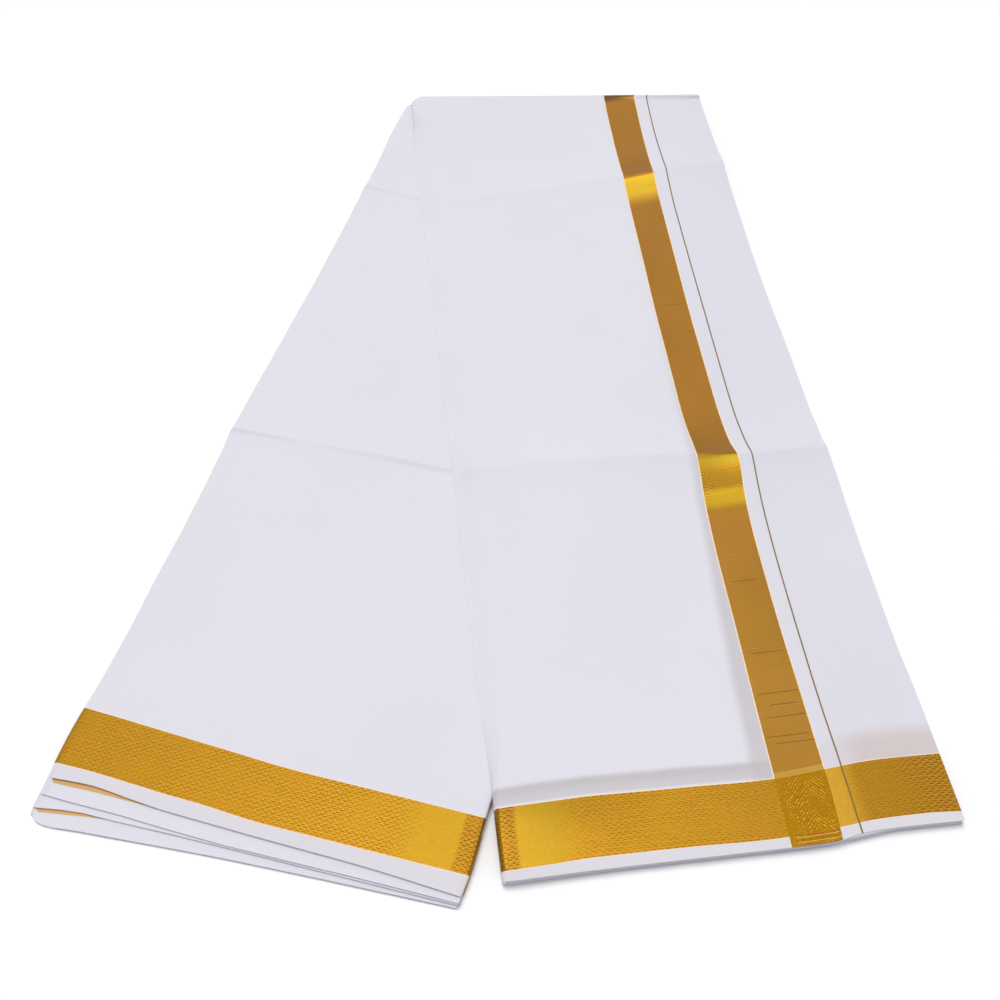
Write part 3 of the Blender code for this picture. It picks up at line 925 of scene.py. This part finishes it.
def lineBelowBorder(finish):
    fromHem = finish.v.maths("MINIMUM", strip["clothWidth"] - finish.v)
    return paleLine(finish, fromHem.rising(0.0061, 0.0065), 0.45)


print("making the finishes")
cottonGhosted = cottonFinish("cottonOverBorders", (
    (ghostByBand, "ghost"), (ghostByBorder, "ghost"), (lineAboveBorder, "edgeLine")))
cottonSide = cottonFinish("cottonSideOverBorders", ((ghostAtSide, "warmGhost"), (lineAboveBorder, "edgeLine")), "side")
cottonSelvedge = cottonFinish("selvedgeCotton", ((lineBelowBorder, "edgeLine"),), "selvedge")
cottonLower = cottonFinish("lowerLegCotton", ((shadeBelowCrease, "crease"), (lineAboveLowerBorder, "edgeLine")))
upperBorderZari = zariFinish("upperBorderZari", upperBorderZones, "plainUpper")
sideBorderZari = zariFinish("sideBorderZari", upperSideZones, "plainSide")
lowerBorderZari = zariFinish("lowerBorderZari", lowerBorderZones)
bandZari = bandFinish("crossBandZari")
crossingZari = crossingFinish("crossingZari")
layersCotton = layersFinish("foldedLayersCotton")

# ---- upper leg ----

grain = 1.0
upperSheets = {
    "columnStep": 0.0032 * grain,
    "rowStep": 0.0036 * grain,
    "fineRowStep": 0.0011 * grain,
    "bendSteps": 22,
    "turnSteps": 16,
    "panelWidth": 0.147,
    "bandWidth": 0.026,
    "sideWidth": 0.050,
}
marginRows, borderRows, selvedgeRows = 8, 10, 4


def upperLayer(start, end, count, turned):
    # the outer layer between two lines along the strip
    def section(row):
        left = turnCentre if start is None else bandEdge(row, start)
        right = halfWidth if end is None else bandEdge(row, end)
        points = onLayer(1, evenlyCounted(left, right, count))
        if turned:
            points = edgeTurn(-1, 16, 1, upperSheets["turnSteps"], ends=(1, 0)) + points
        return points
    return section


def makeLeg(part, toBorder, uEnd, uSign, layout):
    # the pieces of one leg, each with its kind of rows, its cross-section and its finish
    top, low, hem = (marginLine(part, margin) for margin in (borderTop, selvedge, 0.0))
    hemRows = rowsBetween(part, low, hem, selvedgeRows)
    kinds = {
        "panel": (toBorder + rowsBetween(part, evenLine, top, marginRows), borderTop, 0.0),
        "border": (rowsBetween(part, top, low, borderRows), selvedge, 0.0),
        "crossing": (rowsBetween(part, top, low, borderRows, False) + hemRows, 0.0, 0.0),
        "selvedge": (hemRows, 0.0, selvedge),
    }
    pieces = {}
    for name, kind, section, material in layout:
        rows, vEnd, vSpan = kinds[kind]
        pieces[name] = makeSheet(name, rows, section, material, uEnd, uSign, vEnd, part, vSpan=vSpan)
    return pieces


def makeUpperLeg():
    step = upperSheets["columnStep"]
    panel = upperLayer(None, "left", round(upperSheets["panelWidth"] / step), True)
    band = upperLayer("left", "right", round(upperSheets["bandWidth"] / step), False)
    side = upperLayer("right", None, round(upperSheets["sideWidth"] / step), False)
    toBorder = bendRows(upperSheets["bendSteps"])
    toBorder += legRows("upper", legStart, upperSheets["rowStep"], upperSheets["fineRowStep"])
    return makeLeg("upper", toBorder, lambda point: halfWidth - point["across"], 1, (
        ("upperPanel", "panel", panel, cottonGhosted),
        ("crossBand", "panel", band, bandZari),
        ("upperSide", "panel", side, cottonSide),
        ("upperBorder", "border", panel, upperBorderZari),
        ("upperBorderSide", "border", side, sideBorderZari),
        ("bandCrossing", "crossing", band, crossingZari),
        ("upperSelvedge", "selvedge", panel, cottonSelvedge),
        ("upperSelvedgeSide", "selvedge", side, cottonSelvedge)))


print("making the upper leg")
upper = makeUpperLeg()

# ---- lower leg ----

lowerSheets = {
    "columnStep": 0.0034 * grain,
    "rowStep": 0.0038 * grain,
    "fineRowStep": 0.0011 * grain,
    "width": 0.222,
    "startsAfter": 0.0012,
    "openTurnSteps": 6,
}


def lowerLayer(row):
    points = edgeTurn(-1, 1, 16, upperSheets["turnSteps"], ends=(1, 0))
    count = round(lowerSheets["width"] / lowerSheets["columnStep"])
    points += onLayer(16, evenlyCounted(turnCentre, openEdge, count))
    return points + edgeTurn(1, 16, 9, lowerSheets["openTurnSteps"], ends=(0, 1))


def makeLowerLeg():
    start = legStart + lowerSheets["startsAfter"]
    toBorder = legRows("lower", start, lowerSheets["rowStep"], lowerSheets["fineRowStep"])
    return makeLeg("lower", toBorder, lambda point: strip["lowerMiddle"] + point["across"], -1, (
        ("lowerPanel", "panel", lowerLayer, cottonLower),
        ("lowerBorder", "border", lowerLayer, lowerBorderZari),
        ("lowerSelvedge", "selvedge", lowerLayer, cottonSelvedge)))


print("making the lower leg")
lower = makeLowerLeg()

# ---- the layers in between ----

layerStack = {
    # finer beside the closed edge, where the corner is rounded
    "columns": [-0.1105, -0.1085, -0.1060, -0.1030, -0.0970, -0.0860, -0.0670, -0.0420, -0.0120, 0.0200, 0.0510,
                0.0820, openEdge],
    "rowStep": 0.0090 * grain,
    "fineRowStep": 0.0040 * grain,
    "turnSteps": 4,
    "bendSteps": 12,
    "outerColumns": 14,
    "lowerStartsAfter": 0.0006,
    # the cloth's way through the stack: the layer, and the side it turns at
    "way": [(9, -1), (8, 1), (5, -1), (12, 1), (13, -1), (4, 1), (3, -1), (14, 1), (11, -1), (6, 1), (7, -1),
            (10, 1), (15, -1), (2, 0)],
}


def stackSection(row):
    points = []
    way = layerStack["way"]
    acrosses = layerStack["columns"]
    for i, (number, side) in enumerate(way):
        startsOpen = i == 0 or way[i - 1][1] > 0
        points += onLayer(number, acrosses[::-1] if startsOpen else acrosses)
        if side:
            points += edgeTurn(side, number, way[i + 1][0], layerStack["turnSteps"])
    return points


def undersideSection(row):
    # the layer that faces the lower leg, turned up at the open edge
    flat = onLayer(16, evenlyCounted(turnCentre, openEdge, layerStack["outerColumns"]))
    return flat + edgeTurn(1, 16, 9, layerStack["turnSteps"], ends=(0, 1))


def groundSection(row):
    # the layer that lies on the table under the lower leg
    return onLayer(1, evenlyCounted(turnCentre, halfWidth, layerStack["outerColumns"]))


def stackRows(part, start):
    rows = legRows(part, start, layerStack["rowStep"], layerStack["fineRowStep"])
    return rows + rowsBetween(part, evenLine, marginLine(part, 0.0), marginRows)


def makeStack():
    upperRows = stackRows("upper", legStart)
    lowerRows = stackRows("lower", legStart + layerStack["lowerStartsAfter"])
    turnRows = bendRows(layerStack["bendSteps"])
    return {name: makeSheet(name, rows, section, layersCotton, lambda point: uEnd, uSign, 0.0, part, both=both)
            for name, rows, section, uEnd, uSign, part, both in (
                ("foldedLayers", upperRows[::-1] + turnRows[::-1] + lowerRows, stackSection,
                 strip["clothLength"], -1, "upper", True),
                ("upperUnderside", turnRows + upperRows, undersideSection, 4 * halfWidth, -1, "upper", False),
                ("lowerUnderside", lowerRows, groundSection, 0.0, 1, "lower", False))}


print("making the folded layers")
stack = makeStack()

# ---- zari threads ----

threads = {
    "rows": {"bendSteps": 24, "firstAngle": -1.1, "step": 0.006, "fineStep": 0.0015},
    "looseStep": 0.0015,      # between the places that the loose threads are made of
    "zariLine": {"thickness": 0.00042, "spacing": 0.00038, "count": 2, "lift": 0.00008,
                 "colour": (0.262, 0.170, 0.072), "inBorder": (0.235, 0.150, 0.036)},
    "bandCords": {"thickness": 0.00042, "spacing": 0.00036, "count": 2, "lift": 0.00004, "outside": 0.0002,
                  "colour": (0.88, 0.72, 0.52)},
    "bandFloats": {
        "thickness": 0.00022, "lift": 0.00006, "colour": (0.62, 0.36, 0.10), "seed": 7, "shortest": 0.30,
        # how far from the fold each loose weft thread crosses the band, in millimetres
        "at": [318, 436, 452, 471, 512, 514, 537, 541, 545, 548, 549.5, 553, 555, 557, 562, 568],
    },
    "bandPulls": {
        "thickness": 0.00034, "lift": 0.00003, "colour": (0.27, 0.120, 0.022), "seed": 19, "shortest": 0.55,
        "at": [470, 517, 541.5, 548.5, 555.5, 566.5, 570.5],
    },
    "hemPicks": {
        "thickness": 0.00042, "lift": 0.00006, "stray": 0.00035, "seed": 3, "shortest": 0.85,
        # each kind's colour, and its distances from the hem in millimetres
        "rustPicks": ((0.46, 0.155, 0.030), [0.35, 3.3, 5.6]),
        "goldPicks": ((0.85, 0.52, 0.06), [1.9, 4.4]),
    },
}


def onUpperCloth(row, across, lift):
    return place(row, topLayer, across, layerLevel(1) + strip["sheetThickness"] / 2 + lift)


def strandTree():
    # a round thread along each path, cut back at random from both ends where it is loose
    tree = bpy.data.node_groups.new("threadAlongPaths", "GeometryNodeTree")
    tree.interface.new_socket(name="Geometry", in_out="OUTPUT", socket_type="NodeSocketGeometry")
    for name, kind in (("Geometry", "Geometry"), ("Thickness", "Float"), ("Sides", "Int"), ("Step", "Float"),
                       ("Shortest", "Float"), ("Seed", "Int"), ("Material", "Material")):
        tree.interface.new_socket(name=name, in_out="INPUT", socket_type="NodeSocket" + kind)
    maker = NodeMaker(tree)
    given = {socket.name: Wrapped(maker, socket) for socket in tree.nodes.new("NodeGroupInput").outputs}
    curves = maker.node("GeometryNodeMeshToCurve", {}, {"Mesh": given["Geometry"]})
    first = maker.node("FunctionNodeRandomValue", {"data_type": "FLOAT"},
                       {2: 0.0, 3: 1.0 - given["Shortest"], "Seed": given["Seed"]}, 1)
    last = first + given["Shortest"]
    more = maker.node("FunctionNodeRandomValue", {"data_type": "FLOAT"},
                      {2: 0.0, 3: 1.0, "Seed": given["Seed"] + 31.0}, 1)
    cut = maker.node("GeometryNodeTrimCurve", {"mode": "FACTOR"},
                     {"Curve": curves, 2: first, 3: last + (1.0 - last) * more})
    even = maker.node("GeometryNodeResampleCurve", {"mode": "LENGTH"}, {"Curve": cut, "Length": given["Step"]})
    ring = maker.node("GeometryNodeCurvePrimitiveCircle", {"mode": "RADIUS"},
                      {"Resolution": given["Sides"], "Radius": given["Thickness"] * 0.5})
    tube = maker.node("GeometryNodeCurveToMesh", {}, {"Curve": even, "Profile Curve": ring, "Fill Caps": True})
    real = maker.node("GeometryNodeRealizeInstances", {}, {"Geometry": tube})
    done = maker.node("GeometryNodeSetMaterial", {}, {"Geometry": real, "Material": given["Material"]})
    maker.node("NodeGroupOutput", {}, {"Geometry": done}, None)
    return tree


def thread(name, tree, paths, thickness, material, step=0.0022, shortest=1.0, seed=1):
    places, edges = [], []
    for path in paths:
        first = len(places)
        places += path
        edges += [(first + i, first + i + 1) for i in range(len(path) - 1)]
    mesh = bpy.data.meshes.new(name)
    mesh.from_pydata(places, edges, [])
    piece = inScene(name, mesh)
    modifier = piece.modifiers.new("nodes", "NODES")
    modifier.node_group = tree
    values = {"Thickness": thickness, "Sides": 6, "Step": step, "Shortest": shortest, "Seed": seed,
              "Material": material}
    for socket in tree.interface.items_tree:
        if socket.name in values:
            modifier[socket.identifier] = values[socket.name]
    evaluated = piece.evaluated_get(bpy.context.evaluated_depsgraph_get())
    solid = bpy.data.meshes.new_from_object(evaluated)
    piece.modifiers.clear()
    piece.data = solid
    solid.shade_smooth()
    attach(piece, "root")
    return piece


def threadFinish(name, colour, metallic, roughness):
    finish = Finish(name + "Thread", roughness, metallic)
    spot = finish.node("ShaderNodeTexCoord", {}, {}, 3)
    grainy = finish.node("ShaderNodeTexNoise", {}, {"Vector": spot, "Scale": 900.0, "Detail": 2.0})
    return finish.made(finish.tinted(colour, 0.75 + grainy * 0.5), grainy, 0.0001)


def sideBySide(entry):
    middle = (entry["count"] - 1) / 2
    return [(i - middle) * entry["spacing"] for i in range(entry["count"])]


def strayRow(distance, stray):
    # a row beside the hem that wanders a little
    def along(across, point):
        wander = noise.noise(Vector((across * 140.0, distance * 3000.0, 0.7)))
        return hemLine("upper", across, point) - distance + stray * wander
    return {"part": "upper", "along": along}


def acrossBand(row, lift, margin=0.0003, steps=12):
    left, right = bandEdge(row, "left") + margin, bandEdge(row, "right") - margin
    return [onUpperCloth(row, across, lift) for across in evenlyCounted(left, right, steps)]


def makeThreads():
    tree = strandTree()
    top = marginLine("upper", borderTop)
    spaced = threads["rows"]
    rows = [row for row in bendRows(spaced["bendSteps"]) if row["angle"] > spaced["firstAngle"]]
    rows += legRows("upper", legStart, spaced["step"], spaced["fineStep"])
    rows += rowsBetween("upper", evenLine, top, marginRows)
    lastRows = rowsBetween("upper", top, marginLine("upper", 0.0), marginRows)
    made = {}
    line = threads["zariLine"]
    for name, colour, along in (("zariLine", "colour", rows), ("zariLineInBorder", "inBorder", lastRows)):
        paths = [[onUpperCloth(row, bandEdge(row, "line") + offset, line["lift"]) for row in along]
                 for offset in sideBySide(line)]
        made[name] = thread(name, tree, paths, line["thickness"], threadFinish(name, line[colour], 0.15, 0.55))
    cords = threads["bandCords"]
    paths = [[onUpperCloth(row, bandEdge(row, edge) + (offset + cords["outside"]) * outwards, cords["lift"])
              for row in rows] for edge, outwards in (("left", -1), ("right", 1)) for offset in sideBySide(cords)]
    paleThread = threadFinish("paleEdge", cords["colour"], 0.0, 0.6)
    made["bandCords"] = thread("bandCords", tree, paths, cords["thickness"], paleThread, 0.0025)
    for name in ("bandFloats", "bandPulls"):
        loose = threads[name]
        paths = [acrossBand(legRow("upper", at / 1000), loose["lift"]) for at in loose["at"]]
        finish = threadFinish(name, loose["colour"], 0.6, 0.4)
        made[name] = thread(name, tree, paths, loose["thickness"], finish, threads["looseStep"],
                            loose["shortest"], loose["seed"])
    picks = threads["hemPicks"]
    for name in ("rustPicks", "goldPicks"):
        colour, at = picks[name]
        paths = [acrossBand(strayRow(distance / 1000, picks["stray"]), picks["lift"], 0.0001, 16) for distance in at]
        finish = threadFinish(name, colour, 0.5, 0.45)
        made[name] = thread(name, tree, paths, picks["thickness"], finish, threads["looseStep"],
                            picks["shortest"], picks["seed"])
    return made


print("laying the zari threads")
laid = makeThreads()

# ---- what each piece stands for ----

hemLayers = ["upper_leg_layer_%d" % n for n in (2, 3, 4)]
hemLayers += ["lower_leg_layer_%d_%s" % (n, kind) for n in (2, 3, 4) for kind in ("border", "selvedge")]
standsFor = {
    "upperPanel": (["upper_leg_panel"], "cotton", (0.154, 0.604)),
    "crossBand": (["cross_band"], "band_zari", (0.0225, 0.604)),
    "upperSide": (["upper_leg_side"], "cotton", (0.053, 0.604)),
    "upperBorder": (["upper_leg_border"], "border_zari", (0.148, 0.0312)),
    "upperBorderSide": (["upper_leg_border_side"], "border_zari", (0.058, 0.0312)),
    "bandCrossing": (["band_crossing"], "band_zari", (0.025, 0.038)),
    "upperSelvedge": (["upper_leg_selvedge"], "cotton", None),
    "upperSelvedgeSide": (["upper_leg_selvedge_side"], "cotton", None),
    "lowerPanel": (["lower_leg_panel"], "cotton", (0.232, 0.589)),
    "lowerBorder": (["lower_leg_border"], "border_zari", (0.232, 0.0312)),
    "lowerSelvedge": (["lower_leg_selvedge"], "cotton", None),
    "foldedLayers": (["inner_layers"] + hemLayers, "cotton", (3.15, 1.27)),
    "upperUnderside": (["inner_layers"], "cotton", (0.225, 0.625)),
    "lowerUnderside": (["inner_layers"], "cotton", (0.225, 0.640)),
}
# Each piece's parts are hidden, as the piece stands in for them; a sheet's selvedge is one cloth with it.
for name, (nodes, slot, flat) in standsFor.items():
    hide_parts(*nodes)

# ---- floor, light and camera ----

studio = {
    "floorReach": 6.0,
    "floorDrop": 0.0002,
    "floorColour": (0.928, 0.928, 0.928),
    "worldColour": (0.97, 0.98, 1.0),
    "worldStrength": 0.64,
    # a broad lamp, a little behind and to the left, and one that only the metal threads reflect
    "overhead": {"strength": 1.24, "spread": 32.0, "tilt": (-15.0, -9.0)},
    "sheen": {"strength": 1.20, "spread": 50.0, "tilt": (5.0, -13.0)},
    "softbox": {"power": 2.0, "size": 0.9, "place": (-0.04, -0.04, 1.15)},
}
view = {
    "place": (0.0519, -0.5298, 0.5813),
    "yaw": -7.87, "down": 51.68, "roll": 4.42,
    "lens": 44.4,
}


def makeStudio():
    mesh = bpy.data.meshes.new("floor")
    reach = studio["floorReach"]
    corners = [(x * reach, y * reach, -studio["floorDrop"]) for x, y in ((-1, -1), (1, -1), (1, 1), (-1, 1))]
    mesh.from_pydata(corners, [], [(0, 1, 2, 3)])
    floor = inScene("floor", mesh)
    material = bpy.data.materials.new("paleFloor")
    material.use_nodes = True
    shader = material.node_tree.nodes["Principled BSDF"]
    shader.inputs["Base Color"].default_value = (*studio["floorColour"], 1.0)
    shader.inputs["Roughness"].default_value = 0.9
    shader.inputs["Specular IOR Level"].default_value = 0.1
    mesh.materials.append(material)
    world = bpy.data.worlds.new("studio")
    world.use_nodes = True
    background = world.node_tree.nodes["Background"]
    background.inputs["Color"].default_value = (*studio["worldColour"], 1.0)
    background.inputs["Strength"].default_value = studio["worldStrength"]
    bpy.context.scene.world = world
    for name in ("overhead", "sheen"):
        light = bpy.data.lights.new(name, "SUN")
        light.energy, light.angle = studio[name]["strength"], math.radians(studio[name]["spread"])
        lamp = inScene(name, light)
        lamp.location = (0.0, 0.0, 2.0)
        lamp.rotation_euler = [math.radians(angle) for angle in (*studio[name]["tilt"], 0.0)]
        lamp.visible_diffuse, lamp.visible_glossy = name == "overhead", name == "sheen"
    box = bpy.data.lights.new("softbox", "AREA")
    box.shape, box.size, box.energy = "DISK", studio["softbox"]["size"], studio["softbox"]["power"]
    inScene("softbox", box).location = studio["softbox"]["place"]
    bpy.context.scene.view_settings.view_transform = "Standard"


def makeCamera():
    yaw, down, roll = (math.radians(view[key]) for key in ("yaw", "down", "roll"))
    forward = Vector((math.sin(yaw) * math.cos(down), math.cos(yaw) * math.cos(down), -math.sin(down)))
    right = Vector((math.cos(yaw), -math.sin(yaw), 0.0))
    below = forward.cross(right)
    turnedRight = math.cos(roll) * right + math.sin(roll) * below
    turnedBelow = math.cos(roll) * below - math.sin(roll) * right
    lens = bpy.data.cameras.new("camera")
    lens.lens, lens.sensor_width = view["lens"], 36.0
    camera = inScene("camera", lens)
    axes = Matrix((turnedRight, -turnedBelow, -forward)).transposed()
    camera.matrix_world = Matrix.Translation(view["place"]) @ axes.to_4x4()
    bpy.context.scene.camera = camera


print("setting the floor, light and camera")
makeStudio()
makeCamera()

print("done")
